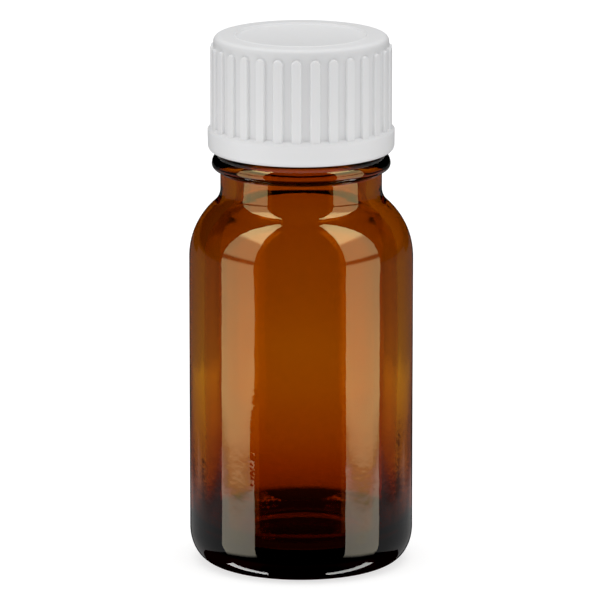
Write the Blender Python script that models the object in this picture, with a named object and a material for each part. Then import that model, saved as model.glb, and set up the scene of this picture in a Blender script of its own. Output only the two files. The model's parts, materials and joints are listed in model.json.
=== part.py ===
"""A small amber glass medicine bottle with an 18 mm screw neck and a white ribbed screw cap.

Run with: blender --background --python part.py

Metres, +Z up. The bottle's axis is the Z axis, and the origin is the centre of the plane it stands on.
The cap's mesh is measured from the cap's lower edge, so the cap and its liner hang from one empty there.
"""

import math

import bmesh
import bpy

MM = 0.001
GAP = 0.3 * MM  # between pieces that rest on each other

# Glass body, outside.
BODY_RADIUS = 12.5 * MM
HEEL_WIDTH = 2.6 * MM
HEEL_HEIGHT = 3.75 * MM
PUSH_UP_RADIUS = 8.9 * MM
PUSH_UP_HEIGHT = 1.1 * MM
SHOULDER_ROUND = 8.1 * MM
SHOULDER_Z = 34.7 * MM  # where the straight body ends
NECK_RADIUS = 9.0 * MM
NECK_FILLET = 2.3 * MM
BEAD_RADIUS = 9.95 * MM
BEAD_Z = 45.3 * MM  # where the bead is widest
BEAD_ROUND = 0.6 * MM  # below that height
BEAD_TOP_ROUND = 1.35 * MM  # above it
BEAD_FILLET = 0.4 * MM
FINISH_RADIUS = 7.95 * MM  # the neck between its threads
FINISH_FILLET = 0.45 * MM
MOUTH_Z = 56.0 * MM
RIM_ROUND = 0.5 * MM

# Glass body, inside.
WALL = 1.8 * MM
MOUTH_BORE = 5.7 * MM
MOUTH_BORE_LENGTH = 7.8 * MM
NECK_BORE_Z = 44.8 * MM  # where the neck's bore starts to narrow to the mouth's
FLOOR_Z = 3.4 * MM  # at the floor's edge
FLOOR_DOME = 0.9 * MM
FLOOR_CORNER = 2.2 * MM

# Screw thread, shared by the neck and the cap. It is right-handed.
PITCH = 3.0 * MM
THREAD_TURNS = 1.5
THREAD_TAPER = 0.12  # share of the thread's length that each run-out takes
THREAD_SINK = 0.1 * MM  # how far a run-out ends below the wall
THREAD_EMBED = 0.25 * MM
THREAD_STEPS = 60
NECK_THREAD_Z = 49.4 * MM
NECK_THREAD_HEIGHT = 0.95 * MM
NECK_THREAD_WIDTHS = (0.95 * MM, 0.62 * MM, 0.3 * MM)  # half widths at root, shoulder and crest
CAP_THREAD_HEIGHT = 0.82 * MM
CAP_THREAD_WIDTHS = (0.7 * MM, 0.42 * MM, 0.2 * MM)
THREAD_SHOULDER = 0.7  # the shoulder's share of the thread's height

# Screw cap. Heights are above its lower edge.
CAP_Z = 46.75 * MM
CAP_HEIGHT = 13.05 * MM
BAND_RADIUS = 10.4 * MM
BAND_FOOT_RADIUS = 10.37 * MM
BAND_HEIGHT = 2.44 * MM
BAND_ROUND = 0.7 * MM
CAP_RADIUS = 9.745 * MM  # between the ribs
RIB_COUNT = 30
RIB_RADIUS = 10.085 * MM
RIB_FOOT_ANGLE = 3.4  # half widths, in degrees about the axis
RIB_CROWN_ANGLE = 2.75
RIB_PHASE = 267.0  # direction of the first rib, in degrees from +X
RIB_FOOT_Z = 2.88 * MM  # the valley's lower end
RIB_CROWN_FOOT_Z = 2.65 * MM
RIB_TOP_Z = 11.86 * MM
RIB_NOSE = 0.5 * MM  # length of a rib's rounded upper end
RIM_FILLET = 0.7 * MM
RECESS_RADIUS = 7.0 * MM
RECESS_LIP = 0.35 * MM
RECESS_DEPTH = 0.25 * MM
CAP_BORE = 9.12 * MM
CAP_MOUTH_RADIUS = 9.45 * MM
CAP_MOUTH_LENGTH = 0.4 * MM
LINER_SEAT_RADIUS = 8.72 * MM
LINER_SEAT_Z = 8.85 * MM
CEILING_Z = 11.65 * MM
CEILING_FILLET = 0.3 * MM
HOLD_RING_RADIUS = 8.1 * MM
HOLD_RING_Z = 10.05 * MM
HOLD_RING_HEIGHT = 0.5 * MM

# Liner and insert.
LINER_RADIUS = 8.4 * MM
LINER_THICKNESS = 0.8 * MM
LINER_ROUND = 0.15 * MM
FLANGE_RADIUS = 7.2 * MM
FLANGE_THICKNESS = 0.7 * MM
FLANGE_ROUND = 0.2 * MM
PLUG_RADIUS = 5.4 * MM
PLUG_LENGTH = 7.2 * MM
PLUG_WALL = 1.0 * MM
PLUG_LEAD = 0.5 * MM
SEAL_RING_HEIGHT = 0.12 * MM
SEAL_RING_HALF = 0.3 * MM
SEAL_RING_DEPTHS = (2.0 * MM, 4.6 * MM)  # below the flange
WELL_RADIUS = 3.0 * MM
WELL_FLOOR_RADIUS = 2.6 * MM
WELL_DEPTH = 1.0 * MM
DRIP_FLOOR_DEPTH = 2.3 * MM
DRIP_TUBE_RADIUS = 1.5 * MM
DRIP_TUBE_TIP_RADIUS = 1.25 * MM
DRIP_TUBE_LENGTH = 4.6 * MM
DRIP_HOLE_RADIUS = 0.5 * MM
DRIP_FUNNEL = 0.3 * MM
VENT_RADIUS = 0.35 * MM
VENT_OFFSET = 2.1 * MM

# Columns round each turned piece.
GLASS_COLUMNS = 48
CAP_COLUMNS = 60
LINER_COLUMNS = 48
INSERT_COLUMNS = 36
VENT_COLUMNS = 12


def clear_scene():
    for old in list(bpy.data.objects):
        bpy.data.objects.remove(old, do_unlink=True)


def material(name, colour, roughness, transmission=0.0):
    made = bpy.data.materials.new(name)
    made.use_nodes = True
    made.diffuse_color = (*colour, 1.0)
    shader = made.node_tree.nodes["Principled BSDF"]
    shader.inputs["Base Color"].default_value = (*colour, 1.0)
    shader.inputs["Roughness"].default_value = roughness
    shader.inputs["Metallic"].default_value = 0.0
    shader.inputs["Transmission Weight"].default_value = transmission
    return made


def add_object(name, shape, finish=None, parent=None):
    """Turns a bmesh into an object with outward faces, shaded smooth with its edges kept."""
    bmesh.ops.recalc_face_normals(shape, faces=shape.faces)
    mesh = bpy.data.meshes.new(name)
    shape.to_mesh(mesh)
    shape.free()
    mesh.shade_smooth()
    mesh.set_sharp_from_angle(angle=math.radians(30))
    if finish:
        mesh.materials.append(finish)
    made = bpy.data.objects.new(name, mesh)
    made.parent = parent
    bpy.context.scene.collection.objects.link(made)
    return made


def add_helper(name, shape, parent=None):
    """An object that only a Boolean reads."""
    helper = add_object(name, shape, parent=parent)
    helper.hide_render = True
    helper.display_type = "WIRE"
    return helper


def combine(target, operation, helper):
    step = target.modifiers.new(helper.name, "BOOLEAN")
    step.operation = operation
    step.solver = "EXACT"
    step.object = helper


def arc(middle, radius, start, end, steps):
    """Points of an arc in the radius-height plane, with angles in degrees up from straight outward."""
    angles = [math.radians(start + (end - start) * step / steps) for step in range(steps + 1)]
    return [(middle[0] + radius * math.cos(a), middle[1] + radius * math.sin(a)) for a in angles]


def oval(middle, width, height, steps):
    """Points of a quarter of an ellipse, from straight below its middle to straight outward."""
    angles = [math.pi / 2 * (step / steps - 1) for step in range(steps + 1)]
    return [(middle[0] + width * math.cos(a), middle[1] + height * math.sin(a)) for a in angles]


def eased(start, end, steps):
    """Points of an S between two points, upright at both ends."""
    points = []
    for step in range(steps + 1):
        share = step / steps
        across = (1 - math.cos(math.pi * share)) / 2
        points.append((start[0] + (end[0] - start[0]) * across, start[1] + (end[1] - start[1]) * share))
    return points


def dome(edge_radius, edge_z, rise, steps):
    """Points of a shallow dome from the axis out to its edge."""
    shares = [step / steps for step in range(steps + 1)]
    return [(edge_radius * share, edge_z + rise * (1 - share**2)) for share in shares]


def fillet_beside(wall_radius, fillet, round_middle, round_radius, side):
    """The fillet between an upright wall and a round that bulges past it.

    side is 1 where the fillet is above the round's middle and -1 where it is below.
    Returns the fillet's middle, and the angle on the round where the two touch.
    """
    across = wall_radius + fillet - round_middle[0]
    up = side * math.sqrt((round_radius + fillet) ** 2 - across**2)
    touch = math.degrees(math.atan2(up, across))
    return (wall_radius + fillet, round_middle[1] + up), touch


def ring(shape, points):
    return [shape.verts.new(point) for point in points]


def round_ring(shape, radius, z, columns, first_angle=0.0):
    angles = [math.radians(first_angle + 360.0 * column / columns) for column in range(columns)]
    return ring(shape, [(radius * math.cos(a), radius * math.sin(a), z) for a in angles])


def join_rings(shape, first, second):
    """Faces between two rings of as many points, or between a ring and one of twice as many."""
    if len(first) > len(second):
        first, second = second, first
    count = len(first)
    step = len(second) // count
    for i in range(count):
        here, there = first[i], first[(i + 1) % count]
        far = [second[(i * step + k) % len(second)] for k in range(step + 1)]
        if step == 1:
            shape.faces.new((here, there, far[1], far[0]))
            continue
        shape.faces.new((here, far[1], far[0]))
        shape.faces.new((here, there, far[1]))
        shape.faces.new((there, far[2], far[1]))


def close_ring(shape, edge, z):
    """A fan from the axis to a ring."""
    middle = shape.verts.new((0.0, 0.0, z))
    for i, point in enumerate(edge):
        shape.faces.new((middle, point, edge[(i + 1) % len(edge)]))


def turned(outline, columns):
    """A solid turned from an outline that starts and ends on the axis."""
    shape = bmesh.new()
    rings = [round_ring(shape, radius, z, columns) for radius, z in outline[1:-1]]
    for lower, upper in zip(rings, rings[1:]):
        join_rings(shape, lower, upper)
    close_ring(shape, rings[0], outline[0][1])
    close_ring(shape, rings[-1], outline[-1][1])
    return shape


def turned_tube(outline, columns):
    """A solid turned from a closed outline that stays off the axis."""
    shape = bmesh.new()
    rings = [round_ring(shape, radius, z, columns) for radius, z in outline]
    for lower, upper in zip(rings, rings[1:] + rings[:1]):
        join_rings(shape, lower, upper)
    return shape


def thread_ridge(wall_radius, side, height, half_widths, start_z):
    """One helical ridge whose root lies inside the wall and whose ends run out into it.

    side is 1 where the ridge stands out from the wall and -1 where it stands in towards the axis.
    """
    root, shoulder, crest = half_widths
    shape = bmesh.new()
    sections = []
    for step in range(THREAD_STEPS + 1):
        along = step / THREAD_STEPS
        grown = min(1.0, along / THREAD_TAPER, (1.0 - along) / THREAD_TAPER)
        top = grown * height - (1.0 - grown) * THREAD_SINK
        middle = start_z + PITCH * THREAD_TURNS * along
        outline = (
            (-THREAD_EMBED, -root),
            (top * THREAD_SHOULDER, -shoulder),
            (top, -crest),
            (top, crest),
            (top * THREAD_SHOULDER, shoulder),
            (-THREAD_EMBED, root),
        )
        turn = 2 * math.pi * THREAD_TURNS * along
        points = []
        for out, up in outline:
            radius = wall_radius + side * out
            points.append((radius * math.cos(turn), radius * math.sin(turn), middle + up))
        sections.append(ring(shape, points))
    for here, there in zip(sections, sections[1:]):
        join_rings(shape, here, there)
    shape.faces.new(sections[0])
    shape.faces.new(sections[-1])
    bmesh.ops.triangulate(shape, faces=shape.faces)
    return shape


def glass_outside():
    """The glass's outline from the middle of the base up to the inner edge of the mouth's flat."""
    shoulder_middle = (BODY_RADIUS - SHOULDER_ROUND, SHOULDER_Z)
    bead_middle = (BEAD_RADIUS - BEAD_ROUND, BEAD_Z)
    bead_top_middle = (BEAD_RADIUS - BEAD_TOP_ROUND, BEAD_Z)
    heel_middle = (BODY_RADIUS - HEEL_WIDTH, HEEL_HEIGHT)
    neck_middle, shoulder_end = fillet_beside(
        NECK_RADIUS, NECK_FILLET, shoulder_middle, SHOULDER_ROUND, 1
    )
    under_middle, bead_start = fillet_beside(
        NECK_RADIUS, BEAD_FILLET, bead_middle, BEAD_ROUND, -1
    )
    above_bead = (FINISH_RADIUS + FINISH_FILLET, BEAD_Z + BEAD_TOP_ROUND + FINISH_FILLET)
    rim_z = MOUTH_Z - RIM_ROUND
    return (
        dome(PUSH_UP_RADIUS, 0.0, PUSH_UP_HEIGHT, 3)
        + oval(heel_middle, HEEL_WIDTH, HEEL_HEIGHT, 6)
        + arc(shoulder_middle, SHOULDER_ROUND, 0, shoulder_end, 6)
        + arc(neck_middle, NECK_FILLET, 180 + shoulder_end, 180, 3)[1:]
        + arc(under_middle, BEAD_FILLET, 180, 180 + bead_start, 3)
        + arc(bead_middle, BEAD_ROUND, bead_start, 0, 2)[1:]
        + arc(bead_top_middle, BEAD_TOP_ROUND, 0, 90, 4)[1:]
        + arc(above_bead, FINISH_FILLET, -90, -180, 2)
        + arc((FINISH_RADIUS - RIM_ROUND, rim_z), RIM_ROUND, 0, 90, 3)
    )


def glass_inside():
    """The cavity's outline from the mouth's flat down to the middle of the floor."""
    cavity_radius = BODY_RADIUS - WALL
    shoulder_middle = (BODY_RADIUS - SHOULDER_ROUND, SHOULDER_Z)
    shoulder_round = SHOULDER_ROUND - WALL
    neck_bore = NECK_RADIUS - WALL
    neck_fillet = NECK_FILLET + WALL
    neck_middle, shoulder_start = fillet_beside(
        neck_bore, neck_fillet, shoulder_middle, shoulder_round, 1
    )
    corner_middle = (cavity_radius - FLOOR_CORNER, FLOOR_Z + FLOOR_CORNER)
    rim_z = MOUTH_Z - RIM_ROUND
    floor = dome(cavity_radius - FLOOR_CORNER, FLOOR_Z, FLOOR_DOME, 3)
    return (
        arc((MOUTH_BORE + RIM_ROUND, rim_z), RIM_ROUND, 90, 180, 3)
        + eased((MOUTH_BORE, MOUTH_Z - MOUTH_BORE_LENGTH), (neck_bore, NECK_BORE_Z), 5)
        + arc(neck_middle, neck_fillet, 180, 180 + shoulder_start, 4)
        + arc(shoulder_middle, shoulder_round, shoulder_start, 0, 5)[1:]
        + arc(corner_middle, FLOOR_CORNER, 0, -90, 4)
        + floor[::-1][1:]
    )


def glass_bottle(finish):
    bottle = add_object("glass_bottle", turned(glass_outside() + glass_inside(), GLASS_COLUMNS), finish)
    ridge = thread_ridge(FINISH_RADIUS, 1, NECK_THREAD_HEIGHT, NECK_THREAD_WIDTHS, NECK_THREAD_Z)
    combine(bottle, "UNION", add_helper("neck_thread", ridge))


def plain_ring(shape, radius, z):
    """A ring of the cap's outside with four even columns to each rib."""
    columns = 4 * RIB_COUNT
    spacing = 360.0 / columns
    return round_ring(shape, radius, z, columns, RIB_PHASE - 1.5 * spacing)


def rib_ring(shape, crown_radius, foot_z, crown_z, share=1.0):
    """A ring that follows the ribs. share narrows each rib towards its rounded end."""
    foot = (RIB_FOOT_ANGLE * share, CAP_RADIUS, foot_z)
    crown = (RIB_CROWN_ANGLE * share, crown_radius, crown_z)
    points = []
    for rib in range(RIB_COUNT):
        middle = RIB_PHASE + 360.0 * rib / RIB_COUNT
        for side, (spread, radius, z) in ((-1, foot), (-1, crown), (1, crown), (1, foot)):
            turn = math.radians(middle + side * spread)
            points.append((radius * math.cos(turn), radius * math.sin(turn), z))
    return ring(shape, points)


def cap_outside(shape):
    """Rings from the edge of the recess's flat floor out and down to the cap's lower edge."""
    first_column = RIB_PHASE - 180.0 / CAP_COLUMNS * 1.5
    floor_z = CAP_HEIGHT - RECESS_DEPTH
    rings = [
        round_ring(shape, RECESS_RADIUS - RECESS_LIP, floor_z, CAP_COLUMNS, first_column),
        round_ring(shape, RECESS_RADIUS, CAP_HEIGHT - RECESS_DEPTH / 3, CAP_COLUMNS, first_column),
        round_ring(shape, RECESS_RADIUS + RECESS_LIP, CAP_HEIGHT, CAP_COLUMNS, first_column),
    ]
    rim_middle = (CAP_RADIUS - RIM_FILLET, CAP_HEIGHT - RIM_FILLET)
    rings += [plain_ring(shape, radius, z) for radius, z in arc(rim_middle, RIM_FILLET, 90, 0, 4)]
    nose_radius = CAP_RADIUS + (RIB_RADIUS - CAP_RADIUS) * 0.7
    nose_z = RIB_TOP_Z - RIB_NOSE * 0.35
    full_z = RIB_TOP_Z - RIB_NOSE
    rings += [
        rib_ring(shape, CAP_RADIUS, RIB_TOP_Z, RIB_TOP_Z, share=0.3),
        rib_ring(shape, nose_radius, nose_z, nose_z, share=0.75),
        rib_ring(shape, RIB_RADIUS, full_z, full_z),
        rib_ring(shape, RIB_RADIUS, RIB_FOOT_Z, RIB_CROWN_FOOT_Z),
        plain_ring(shape, BAND_RADIUS, BAND_HEIGHT),
    ]
    foot_middle = (BAND_FOOT_RADIUS - BAND_ROUND, BAND_ROUND)
    rings += [plain_ring(shape, radius, z) for radius, z in arc(foot_middle, BAND_ROUND, 0, -90, 2)]
    return rings


def cap_inside(shape):
    """Rings from the inner corner of the cap's lower edge up to the edge of its ceiling."""
    hold_top = HOLD_RING_Z + HOLD_RING_HEIGHT / 2
    hold_low = HOLD_RING_Z - HOLD_RING_HEIGHT / 2
    seat_step = LINER_SEAT_Z - (CAP_BORE - LINER_SEAT_RADIUS)
    outline = [
        (CAP_MOUTH_RADIUS, 0.0),
        (CAP_BORE, CAP_MOUTH_LENGTH),
        (CAP_BORE, seat_step),
        (LINER_SEAT_RADIUS, LINER_SEAT_Z),
        (LINER_SEAT_RADIUS, hold_low),
        (HOLD_RING_RADIUS, HOLD_RING_Z),
        (LINER_SEAT_RADIUS, hold_top),
    ]
    corner_middle = (LINER_SEAT_RADIUS - CEILING_FILLET, CEILING_Z - CEILING_FILLET)
    outline += arc(corner_middle, CEILING_FILLET, 0, 90, 2)
    first_column = RIB_PHASE - 180.0 / CAP_COLUMNS * 1.5
    return [round_ring(shape, radius, z, CAP_COLUMNS, first_column) for radius, z in outline]


def screw_cap(finish, axis):
    shape = bmesh.new()
    rings = cap_outside(shape) + cap_inside(shape)
    for here, there in zip(rings, rings[1:]):
        join_rings(shape, here, there)
    close_ring(shape, rings[0], CAP_HEIGHT - RECESS_DEPTH)
    close_ring(shape, rings[-1], CEILING_Z)
    bmesh.ops.triangulate(shape, faces=[face for face in shape.faces if len(face.verts) > 3])
    cap = add_object("screw_cap", shape, finish, axis)
    start_z = NECK_THREAD_Z - PITCH / 2 - CAP_Z  # the cap's thread runs midway below the neck's
    ridge = thread_ridge(CAP_BORE, -1, CAP_THREAD_HEIGHT, CAP_THREAD_WIDTHS, start_z)
    combine(cap, "UNION", add_helper("cap_thread", ridge, axis))


def cap_liner(finish, axis):
    top = CEILING_Z - GAP
    low = top - LINER_THICKNESS
    edge = LINER_RADIUS - LINER_ROUND
    outline = (
        [(0.0, low)]
        + arc((edge, low + LINER_ROUND), LINER_ROUND, -90, 0, 2)
        + arc((edge, top - LINER_ROUND), LINER_ROUND, 0, 90, 2)
        + [(0.0, top)]
    )
    add_object("cap_liner", turned(outline, LINER_COLUMNS), finish, axis)


def insert_outline():
    """A closed outline: over the flange, down the plug, up inside it and round the drip tube."""
    under = MOUTH_Z + GAP
    top = under + FLANGE_THICKNESS
    plug_end = under - PLUG_LENGTH
    plug_inside = PLUG_RADIUS - PLUG_WALL
    floor_under = top - DRIP_FLOOR_DEPTH
    tube_end = floor_under - DRIP_TUBE_LENGTH
    well_floor = top - WELL_DEPTH
    outline = [
        (DRIP_HOLE_RADIUS, well_floor - DRIP_FUNNEL),
        (WELL_FLOOR_RADIUS, well_floor),
        (WELL_RADIUS, top),
    ]
    outline += arc((FLANGE_RADIUS - FLANGE_ROUND, top - FLANGE_ROUND), FLANGE_ROUND, 90, 0, 2)
    outline += [(FLANGE_RADIUS, under), (PLUG_RADIUS, under)]
    for depth in SEAL_RING_DEPTHS:
        outline += [
            (PLUG_RADIUS, under - depth + SEAL_RING_HALF),
            (PLUG_RADIUS + SEAL_RING_HEIGHT, under - depth),
            (PLUG_RADIUS, under - depth - SEAL_RING_HALF),
        ]
    outline += [
        (PLUG_RADIUS, plug_end + PLUG_LEAD),
        (PLUG_RADIUS - PLUG_LEAD, plug_end),
        (plug_inside, plug_end),
        (plug_inside, floor_under),
        (DRIP_TUBE_RADIUS, floor_under),
        (DRIP_TUBE_TIP_RADIUS, tube_end),
        (DRIP_HOLE_RADIUS, tube_end),
    ]
    return outline


def dropper_insert(finish):
    insert = add_object("dropper_insert", turned_tube(insert_outline(), INSERT_COLUMNS), finish)
    shape = bmesh.new()
    bmesh.ops.create_cone(
        shape,
        cap_ends=True,
        segments=VENT_COLUMNS,
        radius1=VENT_RADIUS,
        radius2=VENT_RADIUS,
        depth=2 * DRIP_FLOOR_DEPTH,
    )
    vent = add_helper("air_vent", shape)
    vent.location = (VENT_OFFSET, 0.0, MOUTH_Z)
    combine(insert, "DIFFERENCE", vent)


def main():
    clear_scene()
    axis = bpy.data.objects.new("cap_axis", None)
    axis.location = (0.0, 0.0, CAP_Z)
    bpy.context.scene.collection.objects.link(axis)
    glass_bottle(material("amber_glass", (0.30, 0.10, 0.01), 0.03, transmission=1.0))
    dropper_insert(material("natural_plastic", (0.86, 0.87, 0.84), 0.35))
    cap_liner(material("liner_foam", (0.88, 0.88, 0.86), 0.7), axis)
    screw_cap(material("white_plastic", (0.80, 0.81, 0.83), 0.32), axis)
    bpy.context.view_layer.update()


main()
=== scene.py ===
"""Looks of the small amber glass medicine bottle with its white ribbed screw cap.

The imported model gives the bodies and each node's place. This script builds a fine surface for each
node, gives it a procedural material and lights it like a product on a pale studio floor.
Lengths are in metres. The bottle's axis is the Z axis and the front is towards -Y.
"""

import json
import math

import bmesh
import bpy
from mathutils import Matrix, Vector, noise


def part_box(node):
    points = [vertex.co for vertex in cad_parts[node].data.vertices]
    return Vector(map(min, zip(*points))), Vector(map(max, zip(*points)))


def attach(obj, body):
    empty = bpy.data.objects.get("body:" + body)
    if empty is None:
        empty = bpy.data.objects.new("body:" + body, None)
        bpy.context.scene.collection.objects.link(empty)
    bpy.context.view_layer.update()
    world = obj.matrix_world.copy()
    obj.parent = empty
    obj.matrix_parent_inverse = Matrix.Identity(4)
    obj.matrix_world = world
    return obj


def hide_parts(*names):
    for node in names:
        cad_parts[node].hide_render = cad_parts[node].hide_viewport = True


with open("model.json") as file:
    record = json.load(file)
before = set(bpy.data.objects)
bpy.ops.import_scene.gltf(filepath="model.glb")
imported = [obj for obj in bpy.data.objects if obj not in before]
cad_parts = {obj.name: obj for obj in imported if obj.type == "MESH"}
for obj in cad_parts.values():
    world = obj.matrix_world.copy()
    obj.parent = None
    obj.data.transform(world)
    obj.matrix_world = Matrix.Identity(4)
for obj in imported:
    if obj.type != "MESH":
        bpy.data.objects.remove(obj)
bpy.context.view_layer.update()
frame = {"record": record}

MM = 0.001
GLASS_LOW, GLASS_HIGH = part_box("glass_bottle")
CAP_LOW, CAP_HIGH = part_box("screw_cap")
LINER_LOW, LINER_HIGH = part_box("cap_liner")
INSERT_LOW, INSERT_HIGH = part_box("dropper_insert")

# Glass, outside. The body's radius and the mouth's height come from the frame.
BODY_RADIUS = (GLASS_HIGH[0] - GLASS_LOW[0]) / 2
MOUTH_Z = GLASS_HIGH[2]
HEEL_WIDTH = 2.6 * MM
HEEL_HEIGHT = 3.75 * MM
PUSH_UP_RADIUS = 8.9 * MM
PUSH_UP_HEIGHT = 1.1 * MM
SHOULDER_ROUND = 8.1 * MM
SHOULDER_Z = 34.7 * MM
NECK_RADIUS = 9.0 * MM
NECK_FILLET = 2.3 * MM
BEAD_RADIUS = 9.95 * MM
BEAD_Z = 45.3 * MM
BEAD_ROUND = 0.6 * MM
BEAD_TOP_ROUND = 1.35 * MM
BEAD_FILLET = 0.4 * MM
BEAD_TOP_Z = BEAD_Z + BEAD_TOP_ROUND
FINISH_RADIUS = 7.95 * MM
FINISH_FILLET = 0.45 * MM
RIM_ROUND = 0.5 * MM

# Glass, inside.
WALL = 1.8 * MM
MOUTH_BORE = 5.7 * MM
MOUTH_BORE_LENGTH = 7.8 * MM
NECK_BORE_Z = 44.8 * MM
THIN_Z = 23.0 * MM  # where the blown wall is thinnest
THIN_SPREAD = 9.0 * MM
THIN_DEPTH = 0.15 * MM
FLOOR_Z = 3.4 * MM
FLOOR_DOME = 0.9 * MM
FLOOR_CORNER = 2.2 * MM

# Unevenness of the moulded glass. Fineness is in waves to the radius, or to WAVE_REACH of height.
WAVE_REACH = 9.0 * MM
INSIDE_WAVE = 0.015 * MM
INSIDE_FINENESS = 1.6
INSIDE_START = Vector((7.0, 3.0, 1.0))
SLOW_WAVE = 0.008 * MM
SLOW_FINENESS = 2.3
SMALL_WAVE = 0.002 * MM
SMALL_FINENESS = 9.0
CALM_RADIUS = 4.0 * MM  # the waves die out within this distance of the axis

# Screw threads.
PITCH = 3.0 * MM
THREAD_TURNS = 1.5
THREAD_TAPER = 0.12
NECK_THREAD_Z = 49.4 * MM
NECK_THREAD_HEIGHT = 0.95 * MM
NECK_THREAD_HALF = 0.95 * MM
CAP_THREAD_Z = NECK_THREAD_Z - PITCH / 2
CAP_THREAD_HEIGHT = 0.82 * MM
CAP_THREAD_HALF = 0.7 * MM

# Cap, outside. Heights are above its lower edge.
CAP_Z = CAP_LOW[2]
CAP_HEIGHT = CAP_HIGH[2] - CAP_LOW[2]
BAND_RADIUS = (CAP_HIGH[0] - CAP_LOW[0]) / 2
BAND_FOOT_RADIUS = BAND_RADIUS - 0.03 * MM
BAND_HEIGHT = 2.44 * MM
BAND_ROUND = 0.7 * MM
BAND_EDGE_ROUND = 0.08 * MM
CAP_RADIUS = 9.745 * MM
CHAMFER_TOP_Z = 2.88 * MM
RIB_COUNT = 30
RIB_HEIGHT = 0.34 * MM
RIB_HALF = 0.52 * MM
RIB_EDGE = 0.085 * MM
RIB_TOP_Z = 11.86 * MM
RIB_PHASE = 267.0
RIM_FILLET = 0.7 * MM
RECESS_RADIUS = 7.15 * MM
RECESS_LIP = 0.16 * MM
RECESS_DEPTH = 0.2 * MM
RIM_DROP = 0.06 * MM  # the flat rim lies this much below the ridge round the recess
RIDGE_SPREAD = 1.5  # the ridge's width in lips to each side
RIDGE_STEPS = 24
CHAMFER_BLEND = 0.04 * MM

# Cap, inside.
CAP_BORE = 9.12 * MM
CAP_MOUTH_RADIUS = 9.45 * MM
CAP_MOUTH_LENGTH = 0.4 * MM
LINER_SEAT_RADIUS = 8.72 * MM
LINER_SEAT_Z = 8.85 * MM
CEILING_Z = 11.65 * MM
CEILING_FILLET = 0.3 * MM
HOLD_RING_RADIUS = 8.1 * MM
HOLD_RING_Z = 10.05 * MM
HOLD_RING_HEIGHT = 0.5 * MM
HOLD_RING_NOSE = 0.1 * MM
HOLD_RING_NOSE_HALF = 0.06 * MM

# Liner and insert.
LINER_EDGE = 0.15 * MM
FLANGE_ROUND = 0.2 * MM
PLUG_RADIUS = 5.4 * MM
PLUG_WALL = 1.0 * MM
PLUG_LEAD = 0.5 * MM
FLANGE_THICKNESS = 0.7 * MM
SEAL_RING_HEIGHT = 0.12 * MM
SEAL_RING_HALF = 0.3 * MM
SEAL_RING_DEPTHS = (2.0 * MM, 4.6 * MM)
SEAL_RING_STEPS = 8
WELL_RADIUS = 3.0 * MM
WELL_EDGE = 0.1 * MM
WELL_FLOOR_RADIUS = 2.6 * MM
WELL_DEPTH = 1.0 * MM
DRIP_FLOOR_DEPTH = 2.3 * MM
DRIP_TUBE_RADIUS = 1.5 * MM
DRIP_TUBE_TIP_RADIUS = 1.25 * MM
DRIP_TUBE_LENGTH = 4.6 * MM
DRIP_HOLE_RADIUS = 0.5 * MM
DRIP_FUNNEL = 0.3 * MM
VENT_RADIUS = 0.35 * MM
VENT_OFFSET = 2.1 * MM

# Fineness of the made surfaces.
GLASS_COLUMNS = 256
CAP_INNER_COLUMNS = 240
SMALL_COLUMNS = 128
VENT_COLUMNS = 32
FINE_STEP = 0.12 * MM
COARSE_STEP = 0.5 * MM
CHAMFER_STEP = 0.03 * MM
WALL_STEP = 1.2 * MM
WALL_MARGIN = 0.1 * MM
RIB_END_STEP = 0.045 * MM
RIB_END_MARGIN = 0.02 * MM
CAP_SHARP = 50.0  # corners that turn by more degrees than this stay sharp
INSERT_SHARP = 35.0

# Glass tint at heights in millimetres: the glass's own amber, with painted shade and light by height, deep at
# the foot and clearest half way up the body.
GLASS_TINTS_WITH_PAINTED_SHADE = (
    (3.0, (0.25, 0.08, 0.0)),
    (7.5, (0.55, 0.20, 0.03)),
    (11.0, (0.66, 0.33, 0.08)),
    (22.0, (0.76, 0.50, 0.14)),
    (34.0, (0.67, 0.40, 0.10)),
    (42.0, (0.66, 0.38, 0.09)),
    (46.0, (0.78, 0.42, 0.10)),
)

# Materials. Noise scales are in features to the metre.
GLASS_IOR = 1.52
GLASS_ABSORPTION = (0.80, 0.606, 0.0)
GLASS_DENSITY = 1100.0
GLASS_SMEAR_SCALE = 300.0
GLASS_PEEL_SCALE = 1800.0
GLASS_PEEL_DEPTH = 0.0022 * MM
GLASS_DRAWN_SCALE = 900.0
GLASS_DRAWN_DEPTH = 0.004 * MM
GLASS_DRAWN_STRETCH = 0.2
# Painted shade: the cap's white gets about 6 % darker towards its top, standing in for the table's light from
# below falling off with height.
CAP_PAINTED_SHADE_TONES = (  # at shares of the cap's height
    (0.0, (0.90, 0.90, 0.905)),
    (0.22, (0.90, 0.90, 0.905)),
    (0.9, (0.845, 0.847, 0.853)),
)
CAP_GRAIN_SCALE = 2500.0
CAP_GRAIN_DEPTH = 0.004 * MM
# Painted shade: the cap's wall between the ribs is made darker in colour, in place of the shade that falls in
# the grooves.
GROOVE_PAINTED_SHADE = 0.945  # the cap's wall between the ribs is this much darker
GROOVE_IN = (CAP_RADIUS - 0.25 * MM, CAP_RADIUS - 0.05 * MM)
GROOVE_OUT = (CAP_RADIUS + 0.03 * MM, CAP_RADIUS + 0.25 * MM)
INSERT_TONES = ((0.80, 0.81, 0.77), (0.89, 0.90, 0.87))
INSERT_CLOUD_SCALE = 400.0
INSERT_GRAIN_SCALE = 1500.0
INSERT_GRAIN_DEPTH = 0.01 * MM
FOAM_TONES = ((0.78, 0.78, 0.75), (0.89, 0.89, 0.87))
FOAM_CELL_SCALE = 6000.0
FOAM_CELL_DEPTH = 0.02 * MM
MOTTLE_SPAN = (0.3, 0.7)  # the part of the noise's range that the mottled colours use

# Camera and studio.
CAMERA_DISTANCE = 0.70
CAMERA_ELEVATION = 12.9
CAMERA_TARGET_Z = 29.62 * MM
CAMERA_LENS = 376.0
CAMERA_SIDE = -0.13 * MM
SENSOR_WIDTH = 36.0
AMBIENT = 0.41
DIM_ROOM = 0.08  # the room's brightness when it is seen through the glass

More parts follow.
